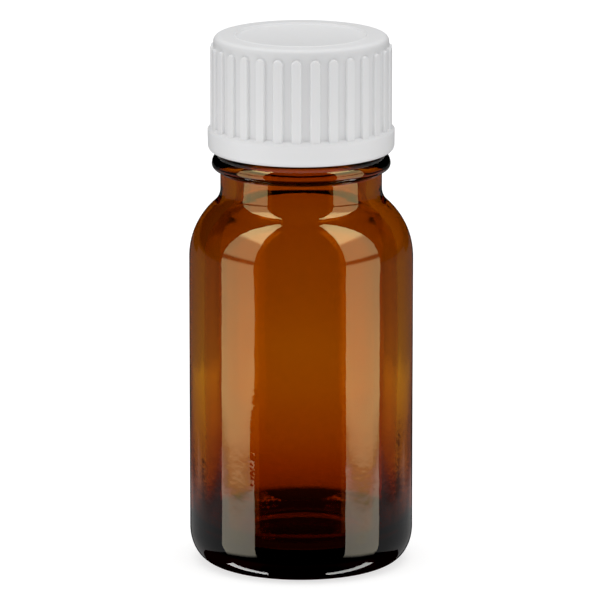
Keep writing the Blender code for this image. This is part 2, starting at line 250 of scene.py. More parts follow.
# The strips: tall softboxes beside the bottle. Heights of lights are above the middle of the picture.
STRIPS = (  # name, side, azimuth, half its spread, height where it starts to narrow
    ("strip_left", -1, 68.9, 20.7, 0.10),
    ("strip_right", 1, 67.2, 20.8, 0.27),
)
STRIP_DISTANCE = 0.5
STRIP_LOW = -0.36
STRIP_HIGH = 1.5
STRIP_EDGE = 0.03  # softness of the edge that narrows, as a share of the width
STRIP_NARROWING = 2.0  # the height in which a strip would narrow to nothing
STRIP_FOOT = (-0.35, -0.25)  # it grows to full brightness between these heights
STRIP_HOOD = (0.36, 0.44)  # it changes to HOOD_GAIN between these heights
HOOD_GAIN = 2.7
STRIP_TIP = (0.9, 1.45)
TIP_GAIN = 0.65
STRIP_JOINT = 0.079  # the dark joint between the upper and the lower softbox
JOINT_DARK = 0.008
JOINT_SOFT = 0.044
JOINT_GAIN = 0.08
NOTCH_WIDTH = 0.12  # the left strip's inner edge is cut back between two heights
NOTCH_EDGE = 0.02
NOTCH_LOW = (-0.1500, -0.1480)
NOTCH_HIGH = (-0.1395, -0.1340)

# The backdrop: lit panels round the back, seen through the glass.
BACKDROP_AZIMUTHS = (120.0, 150.0, 180.0, 210.0, 240.0)
BACKDROP_HALF = 15.0
BACKDROP_DISTANCE = 0.2
BACKDROP_LOW = -0.105
BACKDROP_HIGH = 0.09
BACKDROP_TOP = 0.006  # the side panels' own shade starts at this height
STEEP_PANEL = ("backdrop_neck", 180.0, 0.05, 25.0, -0.030, -0.008)
STEEP_FACING = (0.89, 0.93)  # cosines to the panel's face between which its light stops

# Radiance of the backdrop at heights in metres, straight behind and towards each side.
BACKDROP_MIDDLE = (
    (-0.100, (0.0, 0.0, 0.0)),
    (-0.090, (0.35, 0.30, 0.30)),
    (-0.078, (0.95, 0.90, 0.90)),
    (-0.070, (1.0, 1.0, 1.0)),
    (0.004, (1.0, 1.0, 1.0)),
    (0.012, (0.03, 0.03, 0.03)),
)
BACKDROP_NEAR_SIDE = (
    (-0.0795, (0.0, 0.0, 0.0)),
    (-0.0765, (0.10, 0.10, 0.10)),
    (-0.0745, (0.45, 0.50, 0.45)),
    (-0.0725, (0.90, 1.10, 0.95)),
    (-0.0695, (1.10, 1.45, 1.1)),
    (-0.058, (1.2, 1.65, 1.3)),
    (-0.053, (0.75, 0.95, 0.9)),
    (-0.030, (0.70, 0.85, 0.8)),
    (-0.005, (0.65, 0.60, 0.6)),
)
BACKDROP_FAR_SIDE = (
    (-0.0775, (0.0, 0.0, 0.0)),
    (-0.0748, (0.12, 0.12, 0.12)),
    (-0.0735, (0.40, 0.42, 0.40)),
    (-0.0722, (0.75, 0.85, 0.75)),
    (-0.0695, (1.05, 1.35, 1.0)),
    (-0.056, (1.2, 1.6, 1.2)),
    (-0.050, (0.75, 0.95, 0.8)),
    (-0.005, (0.60, 0.60, 0.6)),
)
LEFT_SHADE = (0.3, 0.2, 0.2)  # the darkened top of the backdrop at the camera's left
RIGHT_SHADE = (0.85, 0.75, 0.75)

# Lights that the glass only mirrors.
FILLS = (  # name, azimuth at the camera's right, distance, half its spread, low, high
    ("rim", 148.0, 0.6, 14.0, -0.35, -0.05),
    ("side", 111.0, 0.5, 23.0, -0.3, 0.0),
)
TABLE_EDGE_DROP = -0.0207  # the far table's edge lies on a line that falls with the distance
TABLE_EDGE_SLOPE = 0.259
TABLE_EDGE_SOFT = 0.02
FILL_ABOVE = 0.07
FILL_BELOW = 0.26
TABLE_LIGHTS = (  # name, azimuth, elevation, distance, width, height, radiance
    ("table_left", -108.0, -60.5, 0.5, 0.10, 0.22, 5.7),
    ("table_right", 98.0, -62.0, 0.5, 0.10, 0.27, 4.9),
)

# Lights on the plastic: name, azimuth, elevation, distance, width, height, radiance.
CAP_SIDE_LIGHTS = (
    ("cap_left", -72.0, 0.0, 0.5, 0.35, 0.8, 0.92),
    ("cap_right", 72.0, 0.0, 0.5, 0.35, 0.8, 0.74),
)
CAP_SOFT_LIGHTS = (
    ("above", 0.0, 90.0, 0.7, 0.7, 0.7, 2.1),
    ("below", 0.0, -45.0, 0.4, 0.6, 0.4, 1.15),
)

# Radiance of the strips at heights in metres: warm light above the table, a dim gap, then the table.
STRIP_TONES = (
    (-0.1580, (2.60, 2.40, 1.95)),
    (-0.1544, (2.80, 2.60, 1.95)),
    (-0.1507, (2.50, 2.00, 1.40)),
    (-0.1480, (1.80, 1.60, 0.85)),
    (-0.1450, (2.10, 1.70, 0.60)),
    (-0.1416, (3.30, 2.75, 1.20)),
    (-0.1340, (4.05, 3.40, 1.50)),
    (-0.1215, (3.30, 2.80, 1.35)),
    (-0.1050, (3.05, 2.60, 1.25)),
)


# The floor: its own light near the bottle, and far off where it meets the bright wall.
FLOOR_RADIUS = 6.0
FLOOR_COLUMNS = 96
FLOOR_TONE = (0.5, 0.5, 0.5)
FLOOR_GLOW = 0.68
FAR_GLOW = 0.82
GLOW_SPAN = (0.15, 0.6)


def smooth_step(value):
    value = min(max(value, 0.0), 1.0)
    return value * value * (3.0 - 2.0 * value)


def arc(middle, radius, start, end, steps):
    """Points of an arc in the radius-height plane, with angles in degrees up from straight outward."""
    angles = [math.radians(start + (end - start) * step / steps) for step in range(steps + 1)]
    return [(middle[0] + radius * math.cos(a), middle[1] + radius * math.sin(a)) for a in angles]


def oval(middle, width, height, steps):
    """Points of a quarter of an ellipse, from straight below its middle to straight outward."""
    angles = [math.pi / 2 * (step / steps - 1) for step in range(steps + 1)]
    return [(middle[0] + width * math.cos(a), middle[1] + height * math.sin(a)) for a in angles]


def eased(start, end, steps):
    """Points of an S between two points, upright at both ends."""
    points = []
    for step in range(steps + 1):
        share = step / steps
        across = (1 - math.cos(math.pi * share)) / 2
        points.append((start[0] + (end[0] - start[0]) * across, start[1] + (end[1] - start[1]) * share))
    return points


def dome(edge_radius, edge_z, rise, steps):
    """Points of a shallow dome from the axis out to its edge."""
    shares = [step / steps for step in range(steps + 1)]
    return [(edge_radius * share, edge_z + rise * (1 - share**2)) for share in shares]


def fillet_beside(wall_radius, fillet, round_middle, round_radius, side):
    """The fillet's middle, between an upright wall and a round that bulges past it, and the touch angle."""
    across = wall_radius + fillet - round_middle[0]
    up = side * math.sqrt((round_radius + fillet) ** 2 - across**2)
    return (wall_radius + fillet, round_middle[1] + up), math.degrees(math.atan2(up, across))


def refined(outline, step):
    """The outline with points added so that no stretch is longer than step(radius, z)."""
    fine = [outline[0]]
    for (r0, z0), (r1, z1) in zip(outline, outline[1:]):
        length = math.hypot(r1 - r0, z1 - z0)
        count = max(1, math.ceil(length / step((z0 + z1) / 2)))
        fine += [(r0 + (r1 - r0) * k / count, z0 + (z1 - z0) * k / count) for k in range(1, count + 1)]
    return fine


def ring(shape, points):
    return [shape.verts.new(point) for point in points]


def round_ring(shape, radius, z, columns, first_angle=0.0):
    angles = [math.radians(first_angle + 360.0 * column / columns) for column in range(columns)]
    return ring(shape, [(radius * math.cos(a), radius * math.sin(a), z) for a in angles])


def join_rings(shape, first, second):
    """Faces between two rings. One may have a whole number of times the other's points."""
    if len(first) > len(second):
        first, second = second, first
    count = len(first)
    step = len(second) // count
    for i in range(count):
        here, there = first[i], first[(i + 1) % count]
        far = [second[(i * step + k) % len(second)] for k in range(step + 1)]
        half = step // 2
        for k in range(half):
            shape.faces.new((here, far[k + 1], far[k]))
        for k in range(half, step):
            if step == 1:
                shape.faces.new((here, there, far[1], far[0]))
                continue
            shape.faces.new((there, far[k + 1], far[k]))
        if step > 1:
            shape.faces.new((here, there, far[half]))


def close_ring(shape, edge, z):
    middle = shape.verts.new((0.0, 0.0, z))
    for i, point in enumerate(edge):
        shape.faces.new((middle, point, edge[(i + 1) % len(edge)]))


def add_piece(name, shape, finish, node):
    """Turns a bmesh into a smooth piece that stands for its CAD node and rides on that node's body."""
    bmesh.ops.recalc_face_normals(shape, faces=shape.faces)
    mesh = bpy.data.meshes.new(name)
    shape.to_mesh(mesh)
    shape.free()
    mesh.shade_smooth()
    mesh.materials.append(finish)
    piece = bpy.data.objects.new(name, mesh)
    bpy.context.scene.collection.objects.link(piece)
    body = next(body for body, nodes in frame["record"]["behaviour"]["bodies"].items() if node in nodes)
    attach(piece, body)
    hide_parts(node)
    return piece


def thread_height(angle, z, start_z, height, half_width):
    """How far a right-hand helical ridge stands out at this angle and height."""
    best = 0.0
    for whole in range(-1, 3):
        turn = angle / (2 * math.pi) + whole
        along = turn / THREAD_TURNS
        if not 0.0 <= along <= 1.0:
            continue
        off = abs(z - start_z - PITCH * turn) / half_width
        grown = smooth_step(min(1.0, along / THREAD_TAPER, (1.0 - along) / THREAD_TAPER))
        best = max(best, grown * height * smooth_step((1.0 - off) * 1.5))
    return best


def glass_outside():
    shoulder_middle = (BODY_RADIUS - SHOULDER_ROUND, SHOULDER_Z)
    bead_middle = (BEAD_RADIUS - BEAD_ROUND, BEAD_Z)
    bead_top_middle = (BEAD_RADIUS - BEAD_TOP_ROUND, BEAD_Z)
    heel_middle = (BODY_RADIUS - HEEL_WIDTH, HEEL_HEIGHT)
    neck_middle, shoulder_end = fillet_beside(
        NECK_RADIUS, NECK_FILLET, shoulder_middle, SHOULDER_ROUND, 1
    )
    under_middle, bead_start = fillet_beside(
        NECK_RADIUS, BEAD_FILLET, bead_middle, BEAD_ROUND, -1
    )
    above_bead = (FINISH_RADIUS + FINISH_FILLET, BEAD_TOP_Z + FINISH_FILLET)
    return (
        dome(PUSH_UP_RADIUS, 0.0, PUSH_UP_HEIGHT, 16)
        + oval(heel_middle, HEEL_WIDTH, HEEL_HEIGHT, 20)
        + arc(shoulder_middle, SHOULDER_ROUND, 0, shoulder_end, 24)
        + arc(neck_middle, NECK_FILLET, 180 + shoulder_end, 180, 12)[1:]
        + arc(under_middle, BEAD_FILLET, 180, 180 + bead_start, 10)
        + arc(bead_middle, BEAD_ROUND, bead_start, 0, 8)[1:]
        + arc(bead_top_middle, BEAD_TOP_ROUND, 0, 90, 14)[1:]
        + arc(above_bead, FINISH_FILLET, -90, -180, 6)
        + arc((FINISH_RADIUS - RIM_ROUND, MOUTH_Z - RIM_ROUND), RIM_ROUND, 0, 90, 8)
    )


def glass_inside():
    cavity_radius = BODY_RADIUS - WALL
    shoulder_middle = (BODY_RADIUS - SHOULDER_ROUND, SHOULDER_Z)
    shoulder_round = SHOULDER_ROUND - WALL
    neck_bore = NECK_RADIUS - WALL
    neck_fillet = NECK_FILLET + WALL
    neck_middle, shoulder_start = fillet_beside(
        neck_bore, neck_fillet, shoulder_middle, shoulder_round, 1
    )
    corner_middle = (cavity_radius - FLOOR_CORNER, FLOOR_Z + FLOOR_CORNER)
    floor = dome(cavity_radius - FLOOR_CORNER, FLOOR_Z, FLOOR_DOME, 16)
    return (
        arc((MOUTH_BORE + RIM_ROUND, MOUTH_Z - RIM_ROUND), RIM_ROUND, 90, 180, 8)
        + eased((MOUTH_BORE, MOUTH_Z - MOUTH_BORE_LENGTH), (neck_bore, NECK_BORE_Z), 14)
        + arc(neck_middle, neck_fillet, 180, 180 + shoulder_start, 14)
        + arc(shoulder_middle, shoulder_round, shoulder_start, 0, 20)[1:]
        + arc(corner_middle, FLOOR_CORNER, 0, -90, 14)
        + floor[::-1][1:]
    )


def glass_wave(angle, z, inside):
    """Slow unevenness of moulded glass, in metres along the radius. The outside is never raised."""
    place = Vector((math.cos(angle), math.sin(angle), z / WAVE_REACH))
    if inside:
        thin = THIN_DEPTH * math.exp(-(((z - THIN_Z) / THIN_SPREAD) ** 2))
        return thin + INSIDE_WAVE * noise.noise(place * INSIDE_FINENESS + INSIDE_START)
    slow = SLOW_WAVE * (noise.noise(place * SLOW_FINENESS) - 1.0)
    small = SMALL_WAVE * (noise.noise(place * SMALL_FINENESS) - 1.0)
    return slow + small


def glass_piece(finish):
    outside = refined(glass_outside(), lambda z: FINE_STEP if z > BEAD_TOP_Z else COARSE_STEP)
    inside = refined(glass_inside(), lambda z: COARSE_STEP)
    shape = bmesh.new()
    rings = []
    angles = [2 * math.pi * column / GLASS_COLUMNS for column in range(GLASS_COLUMNS)]
    for index, (radius, z) in enumerate((outside + inside)[1:-1]):
        inner = index >= len(outside) - 1
        on_thread = not inner and BEAD_TOP_Z < z < MOUTH_Z - RIM_ROUND
        fade = smooth_step(radius / CALM_RADIUS)
        points = []
        for angle in angles:
            out = radius + fade * glass_wave(angle, z, inner)
            if on_thread:
                out += thread_height(angle, z, NECK_THREAD_Z, NECK_THREAD_HEIGHT, NECK_THREAD_HALF)
            points.append((out * math.cos(angle), out * math.sin(angle), z))
        rings.append(ring(shape, points))
    for lower, upper in zip(rings, rings[1:]):
        join_rings(shape, lower, upper)
    close_ring(shape, rings[0], outside[0][1])
    close_ring(shape, rings[-1], inside[-1][1])
    return add_piece("bottle_glass", shape, finish, "glass_bottle")


def rib_angles():
    """Column directions of the cap's outside, in degrees, closer together at each rib's edges."""
    pitch = 360.0 / RIB_COUNT
    rib_half = math.degrees(RIB_HALF / CAP_RADIUS)
    edge = math.degrees(RIB_EDGE / CAP_RADIUS)
    half = [rib_half * share for share in (0.0, 0.22, 0.42, 0.6, 0.74)]
    half += [rib_half + edge * share for share in (-1.0, -0.6, -0.3, 0.0, 0.3, 0.6, 1.0, 1.6)]
    half += [rib_half + (pitch / 2 - rib_half) * share for share in (0.55, 0.8)]
    offsets = sorted({-value for value in half} | set(half)) + [pitch / 2]
    return [RIB_PHASE + pitch * rib + offset for rib in range(RIB_COUNT) for offset in offsets]


def rib_rise(angle, z):
    """How far the ribs stand out at this direction and height above the cap's lower edge."""
    pitch = 360.0 / RIB_COUNT
    off = (angle - RIB_PHASE + pitch / 2) % pitch - pitch / 2
    across = math.radians(off) * CAP_RADIUS
    above = max(0.0, z - (RIB_TOP_Z - RIB_HALF))
    inward = RIB_HALF - math.hypot(across, above)
    return RIB_HEIGHT * smooth_step((inward + RIB_EDGE) / (2 * RIB_EDGE))


def cap_wall_radius(angle, z):
    """The cap's outer radius between its band and its rim fillet."""
    ribbed = CAP_RADIUS + rib_rise(angle, z)
    slope = (BAND_RADIUS - CAP_RADIUS) / (CHAMFER_TOP_Z - BAND_HEIGHT)
    chamfer = CAP_RADIUS + (CHAMFER_TOP_Z - z) * slope
    gap = ribbed - chamfer
    if abs(gap) >= CHAMFER_BLEND:
        return max(ribbed, chamfer)
    return max(ribbed, chamfer) + (CHAMFER_BLEND - abs(gap)) ** 2 / (4 * CHAMFER_BLEND)


def spaced(low, high, step):
    count = max(1, math.ceil((high - low) / step))
    return [low + (high - low) * k / count for k in range(count + 1)]


def cap_outer_rings(shape):
    """Rings from the lower edge's outer side up over the band, the ribs and the rim to the recess."""
    angles = rib_angles()

    def plain(radius, z):
        turns = [math.radians(angle) for angle in angles]
        return ring(shape, [(radius * math.cos(a), radius * math.sin(a), CAP_Z + z) for a in turns])

    rings = []
    foot_middle = (BAND_FOOT_RADIUS - BAND_ROUND, BAND_ROUND)
    for radius, z in arc(foot_middle, BAND_ROUND, -90, 0, 8):
        rings.append(plain(radius, z))
    edge_middle = (BAND_RADIUS - BAND_EDGE_ROUND, BAND_HEIGHT - BAND_EDGE_ROUND)
    for radius, z in arc(edge_middle, BAND_EDGE_ROUND, 0, 60, 4):
        rings.append(plain(radius, z))
    wall_low = CHAMFER_TOP_Z + WALL_MARGIN
    wall_high = RIB_TOP_Z - RIB_HALF - WALL_MARGIN
    rib_end = RIB_TOP_Z + RIB_EDGE + RIB_END_MARGIN
    heights = spaced(BAND_HEIGHT + CHAMFER_STEP, wall_low, CHAMFER_STEP)
    heights += spaced(wall_low, wall_high, WALL_STEP)[1:]
    heights += spaced(wall_high, rib_end, RIB_END_STEP)[1:]
    for z in heights:
        points = []
        for angle in angles:
            radius = cap_wall_radius(angle, z)
            turn = math.radians(angle)
            points.append((radius * math.cos(turn), radius * math.sin(turn), CAP_Z + z))
        rings.append(ring(shape, points))
    rim_middle = (CAP_RADIUS - RIM_FILLET, CAP_HEIGHT - RIM_DROP - RIM_FILLET)
    for radius, z in arc(rim_middle, RIM_FILLET, 0, 90, 10):
        rings.append(plain(radius, z))
    return rings


def cap_top_outline():
    """From the rim over a small rounded ridge down to the recess's floor."""
    ridge = RECESS_RADIUS + RECESS_LIP
    points = []
    for step in range(RIDGE_STEPS + 1):
        share = step / RIDGE_STEPS
        radius = ridge + RECESS_LIP * (1 - 2 * share) * RIDGE_SPREAD
        out = smooth_step(2 * share)
        if share < 0.5:
            points.append((radius, CAP_HEIGHT - RIM_DROP * (1 - out)))
        else:
            points.append((radius, CAP_HEIGHT - RECESS_DEPTH * smooth_step(2 * share - 1)))
    return points


def cap_inner_outline():
    """From the ceiling's edge down the bore to the lower edge, in heights above the lower edge."""
    hold_top = HOLD_RING_Z + HOLD_RING_HEIGHT / 2
    hold_low = HOLD_RING_Z - HOLD_RING_HEIGHT / 2
    seat_step = LINER_SEAT_Z - (CAP_BORE - LINER_SEAT_RADIUS)
    corner_middle = (LINER_SEAT_RADIUS - CEILING_FILLET, CEILING_Z - CEILING_FILLET)
    outline = arc(corner_middle, CEILING_FILLET, 90, 0, 5)
    outline += [
        (LINER_SEAT_RADIUS, hold_top),
        (HOLD_RING_RADIUS + HOLD_RING_NOSE, HOLD_RING_Z + HOLD_RING_NOSE_HALF),
        (HOLD_RING_RADIUS, HOLD_RING_Z),
        (HOLD_RING_RADIUS + HOLD_RING_NOSE, HOLD_RING_Z - HOLD_RING_NOSE_HALF),
        (LINER_SEAT_RADIUS, hold_low),
        (LINER_SEAT_RADIUS, LINER_SEAT_Z),
        (CAP_BORE, seat_step),
        (CAP_BORE, CAP_MOUTH_LENGTH),
        (CAP_MOUTH_RADIUS, 0.0),
    ]
    return outline


def cap_piece(finish):
    shape = bmesh.new()
    outer = cap_outer_rings(shape)
    for lower, upper in zip(outer, outer[1:]):
        join_rings(shape, lower, upper)
    first_angle = rib_angles()[0]
    lip = []
    for radius, z in cap_top_outline():
        lip.append(round_ring(shape, radius, CAP_Z + z, CAP_INNER_COLUMNS, first_angle))
    bridge(shape, outer[-1], lip[0])
    for upper, lower in zip(lip, lip[1:]):
        join_rings(shape, upper, lower)
    close_ring(shape, lip[-1], CAP_Z + CAP_HEIGHT - RECESS_DEPTH)
    inner = []
    outline = refined(cap_inner_outline(), lambda z: FINE_STEP if z < LINER_SEAT_Z else COARSE_STEP)
    for radius, z in outline:
        points = []
        for column in range(CAP_INNER_COLUMNS):
            angle = math.radians(first_angle) + 2 * math.pi * column / CAP_INNER_COLUMNS
            turn = angle % (2 * math.pi)
            out = radius
            if CAP_MOUTH_LENGTH <= z < LINER_SEAT_Z - (CAP_BORE - LINER_SEAT_RADIUS):
                out -= thread_height(turn, CAP_Z + z, CAP_THREAD_Z, CAP_THREAD_HEIGHT, CAP_THREAD_HALF)
            points.append((out * math.cos(angle), out * math.sin(angle), CAP_Z + z))
        inner.append(ring(shape, points))
    for upper, lower in zip(inner, inner[1:]):
        join_rings(shape, upper, lower)
    close_ring(shape, inner[0], CAP_Z + CEILING_Z)
    bridge(shape, outer[0], inner[-1])
    piece = add_piece("cap_shell", shape, finish, "screw_cap")
    keep_edges(piece, CAP_SHARP)
    return piece


def bridge(shape, first, second):
    """Triangles between two rings with any numbers of points, both starting at the same direction."""
    many, few = len(first), len(second)
    i = j = 0

    def turn(ring_points, index):
        start = ring_points[0].co
        point = ring_points[index % len(ring_points)].co
        angle = math.atan2(point.y, point.x) - math.atan2(start.y, start.x)
        whole = 2 * math.pi if index >= len(ring_points) else 0.0
        return angle % (2 * math.pi) + whole

    while i < many or j < few:
        ahead_first = turn(first, i + 1) if i < many else math.inf
        ahead_second = turn(second, j + 1) if j < few else math.inf
        if ahead_first <= ahead_second:
            shape.faces.new((first[i % many], first[(i + 1) % many], second[j % few]))
            i += 1
        else:
            shape.faces.new((first[i % many], second[(j + 1) % few], second[j % few]))
            j += 1


def insert_outline():
    under = INSERT_HIGH[2] - FLANGE_THICKNESS
    top = INSERT_HIGH[2]
    flange_radius = (INSERT_HIGH[0] - INSERT_LOW[0]) / 2
    plug_end = INSERT_LOW[2]
    plug_inside = PLUG_RADIUS - PLUG_WALL
    floor_under = top - DRIP_FLOOR_DEPTH
    tube_end = floor_under - DRIP_TUBE_LENGTH
    well_floor = top - WELL_DEPTH
    outline = [
        (DRIP_HOLE_RADIUS, well_floor - DRIP_FUNNEL),
        (WELL_FLOOR_RADIUS, well_floor),
        (WELL_RADIUS, top - WELL_EDGE),
        (WELL_RADIUS + WELL_EDGE, top),
    ]
    outline += arc((flange_radius - FLANGE_ROUND, top - FLANGE_ROUND), FLANGE_ROUND, 90, 0, 6)
    outline += [(flange_radius, under), (PLUG_RADIUS, under)]
    for depth in SEAL_RING_DEPTHS:
        for step in range(SEAL_RING_STEPS + 1):
            share = 2 * step / SEAL_RING_STEPS - 1
            rise = SEAL_RING_HEIGHT * (1 - share**2)
            outline.append((PLUG_RADIUS + rise, under - depth - SEAL_RING_HALF * share))
    outline += [
        (PLUG_RADIUS, plug_end + PLUG_LEAD),
        (PLUG_RADIUS - PLUG_LEAD, plug_end),
        (plug_inside, plug_end),
        (plug_inside, floor_under),
        (DRIP_TUBE_RADIUS, floor_under),
        (DRIP_TUBE_TIP_RADIUS, tube_end),
        (DRIP_HOLE_RADIUS, tube_end),
    ]
    return outline


def insert_piece(finish):
    shape = bmesh.new()
    rings = [round_ring(shape, radius, z, SMALL_COLUMNS) for radius, z in insert_outline()]
    for here, there in zip(rings, rings[1:] + rings[:1]):
        join_rings(shape, here, there)
    piece = add_piece("insert_plug", shape, finish, "dropper_insert")
    cut_vent(piece)
    keep_edges(piece, INSERT_SHARP)
    return piece


def cut_vent(insert):
    """Drills the air hole beside the drip hole through the insert's floor."""
    shape = bmesh.new()
    bmesh.ops.create_cone(
        shape,
        cap_ends=True,
        segments=VENT_COLUMNS,
        radius1=VENT_RADIUS,
        radius2=VENT_RADIUS,
        depth=2 * DRIP_FLOOR_DEPTH,
    )
    mesh = bpy.data.meshes.new("air_vent")
    shape.to_mesh(mesh)
    shape.free()
    drill = bpy.data.objects.new("air_vent", mesh)
    drill.location = (VENT_OFFSET, 0.0, INSERT_HIGH[2])
    bpy.context.scene.collection.objects.link(drill)
    cut = insert.modifiers.new("air_vent", "BOOLEAN")
    cut.operation = "DIFFERENCE"
    cut.solver = "EXACT"
    cut.object = drill
    bpy.context.view_layer.update()
    drilled = bpy.data.meshes.new_from_object(insert.evaluated_get(bpy.context.evaluated_depsgraph_get()))
    insert.modifiers.remove(cut)
    insert.data = drilled
    bpy.data.objects.remove(drill)


def keep_edges(piece, angle):
    """Shades the piece's corners sharp where they turn by more than this many degrees."""
    piece.data.shade_smooth()
    piece.data.set_sharp_from_angle(angle=math.radians(angle))


def liner_piece(finish):
    radius = (LINER_HIGH[0] - LINER_LOW[0]) / 2
    edge = radius - LINER_EDGE
    low, high = LINER_LOW[2], LINER_HIGH[2]
    outline = arc((edge, low + LINER_EDGE), LINER_EDGE, -90, 0, 5)
    outline += arc((edge, high - LINER_EDGE), LINER_EDGE, 0, 90, 5)
    shape = bmesh.new()
    rings = [round_ring(shape, r, z, SMALL_COLUMNS) for r, z in outline]
    for lower, upper in zip(rings, rings[1:]):
        join_rings(shape, lower, upper)
    close_ring(shape, rings[0], low)
    close_ring(shape, rings[-1], high)
    return add_piece("liner_disc", shape, finish, "cap_liner")


def new_material(name):
    made = bpy.data.materials.new(name)
    made.use_nodes = True
    return made, made.node_tree, made.node_tree.nodes["Principled BSDF"]


def noise_texture(tree, scale, detail=3.0, roughness=0.5, stretch=1.0):
    """Noise in object space, with scale in features to the metre. Stretch below 1 draws it upright."""
    place = tree.nodes.new("ShaderNodeTexCoord")
    squeeze = tree.nodes.new("ShaderNodeVectorMath")
    squeeze.operation = "MULTIPLY"
    squeeze.inputs[1].default_value = (1.0, 1.0, stretch)
    tree.links.new(place.outputs["Object"], squeeze.inputs[0])
    texture = tree.nodes.new("ShaderNodeTexNoise")
    texture.inputs["Scale"].default_value = scale
    texture.inputs["Detail"].default_value = detail
    texture.inputs["Roughness"].default_value = roughness
    tree.links.new(squeeze.outputs["Vector"], texture.inputs["Vector"])
    return texture


def mapped(tree, source, low, high):
    """A value from 0 to 1 mapped to low to high."""
    change = tree.nodes.new("ShaderNodeMapRange")
    change.inputs["To Min"].default_value = low
    change.inputs["To Max"].default_value = high
    tree.links.new(source, change.inputs["Value"])
    return change.outputs["Result"]


def bump(tree, source, distance, strength=1.0, under=None):
    made = tree.nodes.new("ShaderNodeBump")
    made.inputs["Strength"].default_value = strength
    made.inputs["Distance"].default_value = distance
    tree.links.new(source, made.inputs["Height"])
    if under is not None:
        tree.links.new(under, made.inputs["Normal"])
    return made.outputs["Normal"]


def fill_ramp(ramp, tones):
    """Gives a colour ramp its stops, each a position from 0 to 1 and a colour."""
    stops = ramp.color_ramp.elements
    while len(stops) < len(tones):
        stops.new(0.5)
    for stop, (position, colour) in zip(stops, tones):
        stop.position = position
        stop.color = (*colour, 1.0)


def mottled(tree, source, dark, light):
    """A colour that wanders between two tones with a value from 0 to 1."""
    ramp = tree.nodes.new("ShaderNodeValToRGB")
    fill_ramp(ramp, list(zip(MOTTLE_SPAN, (dark, light))))
    tree.links.new(source, ramp.inputs["Fac"])
    return ramp.outputs["Color"]


def height_share(tree, low, high):
    """How far up between two heights a surface point is, from 0 to 1."""
    place = tree.nodes.new("ShaderNodeTexCoord")
    parts = tree.nodes.new("ShaderNodeSeparateXYZ")
    tree.links.new(place.outputs["Object"], parts.inputs["Vector"])
    share = tree.nodes.new("ShaderNodeMapRange")
    share.inputs["From Min"].default_value = low
    share.inputs["From Max"].default_value = high
    tree.links.new(parts.outputs["Z"], share.inputs["Value"])
    return share.outputs["Result"]


def tint_with_painted_shade(tree):
    """The glass's surface tint: its own amber, with painted shade and light by height, deep at the thick
    foot, clearest half way up the body.
    """
    ramp = tree.nodes.new("ShaderNodeValToRGB")
    tree.links.new(height_share(tree, 0.0, MOUTH_Z), ramp.inputs["Fac"])
    fill_ramp(ramp, [(height * MM / MOUTH_Z, colour) for height, colour in GLASS_TINTS_WITH_PAINTED_SHADE])
    return ramp.outputs["Color"]


def amber_glass():
    finish, tree, shader = new_material("amber_glass")
    tree.links.new(tint_with_painted_shade(tree), shader.inputs["Base Color"])
    shader.inputs["Transmission Weight"].default_value = 1.0
    shader.inputs["IOR"].default_value = GLASS_IOR
    smear = noise_texture(tree, GLASS_SMEAR_SCALE, 4.0)
    tree.links.new(mapped(tree, smear.outputs["Fac"], 0.0, 0.02), shader.inputs["Roughness"])
    peel = noise_texture(tree, GLASS_PEEL_SCALE, 1.5)
    drawn = noise_texture(tree, GLASS_DRAWN_SCALE, 1.0, stretch=GLASS_DRAWN_STRETCH)
    fine = bump(tree, peel.outputs["Fac"], GLASS_PEEL_DEPTH)
    uneven = bump(tree, drawn.outputs["Fac"], GLASS_DRAWN_DEPTH, under=fine)
    tree.links.new(uneven, shader.inputs["Normal"])
    body = tree.nodes.new("ShaderNodeVolumeAbsorption")
    body.inputs["Color"].default_value = (*GLASS_ABSORPTION, 1.0)
    body.inputs["Density"].default_value = GLASS_DENSITY
    output = tree.nodes["Material Output"]
    tree.links.new(body.outputs["Volume"], output.inputs["Volume"])
    return finish


def groove_shade_mask(tree):
    """Mask of the painted shade: 1 on the cap's wall between the ribs, and 0 on the ribs, the band and the
    top.
    """
    place = tree.nodes.new("ShaderNodeTexCoord")
    flat = tree.nodes.new("ShaderNodeVectorMath")
    flat.operation = "MULTIPLY"
    flat.inputs[1].default_value = (1.0, 1.0, 0.0)
    tree.links.new(place.outputs["Object"], flat.inputs[0])
    out = tree.nodes.new("ShaderNodeVectorMath")
    out.operation = "LENGTH"
    tree.links.new(flat.outputs["Vector"], out.inputs[0])
    radius = out.outputs["Value"]
    below_rib = ramp_between(tree, radius, *GROOVE_OUT, 1.0, 0.0)
    past_rim = ramp_between(tree, radius, *GROOVE_IN)
    return product(tree, below_rib, past_rim)


def white_plastic():
    finish, tree, shader = new_material("white_plastic")
    # Painted shade in the base colour: darker towards the cap's top, and darker on the wall between the ribs.
    ramp = tree.nodes.new("ShaderNodeValToRGB")
    fill_ramp(ramp, CAP_PAINTED_SHADE_TONES)
    tree.links.new(height_share(tree, CAP_Z, CAP_Z + CAP_HEIGHT), ramp.inputs["Fac"])
    shaded = tree.nodes.new("ShaderNodeVectorMath")
    shaded.operation = "SCALE"
    tree.links.new(ramp.outputs["Color"], shaded.inputs["Vector"])
    tree.links.new(ramp_between(tree, groove_shade_mask(tree), 0.0, 1.0, 1.0, GROOVE_PAINTED_SHADE), shaded.inputs["Scale"])
    tree.links.new(shaded.outputs["Vector"], shader.inputs["Base Color"])
    grain = noise_texture(tree, CAP_GRAIN_SCALE, 3.0)
    tree.links.new(mapped(tree, grain.outputs["Fac"], 0.38, 0.5), shader.inputs["Roughness"])
    tree.links.new(bump(tree, grain.outputs["Fac"], CAP_GRAIN_DEPTH, 0.3), shader.inputs["Normal"])
    shader.inputs["Subsurface Weight"].default_value = 0.3
    shader.inputs["Subsurface Radius"].default_value = (1.0, 0.95, 0.9)
    shader.inputs["Subsurface Scale"].default_value = 0.4 * MM
    return finish


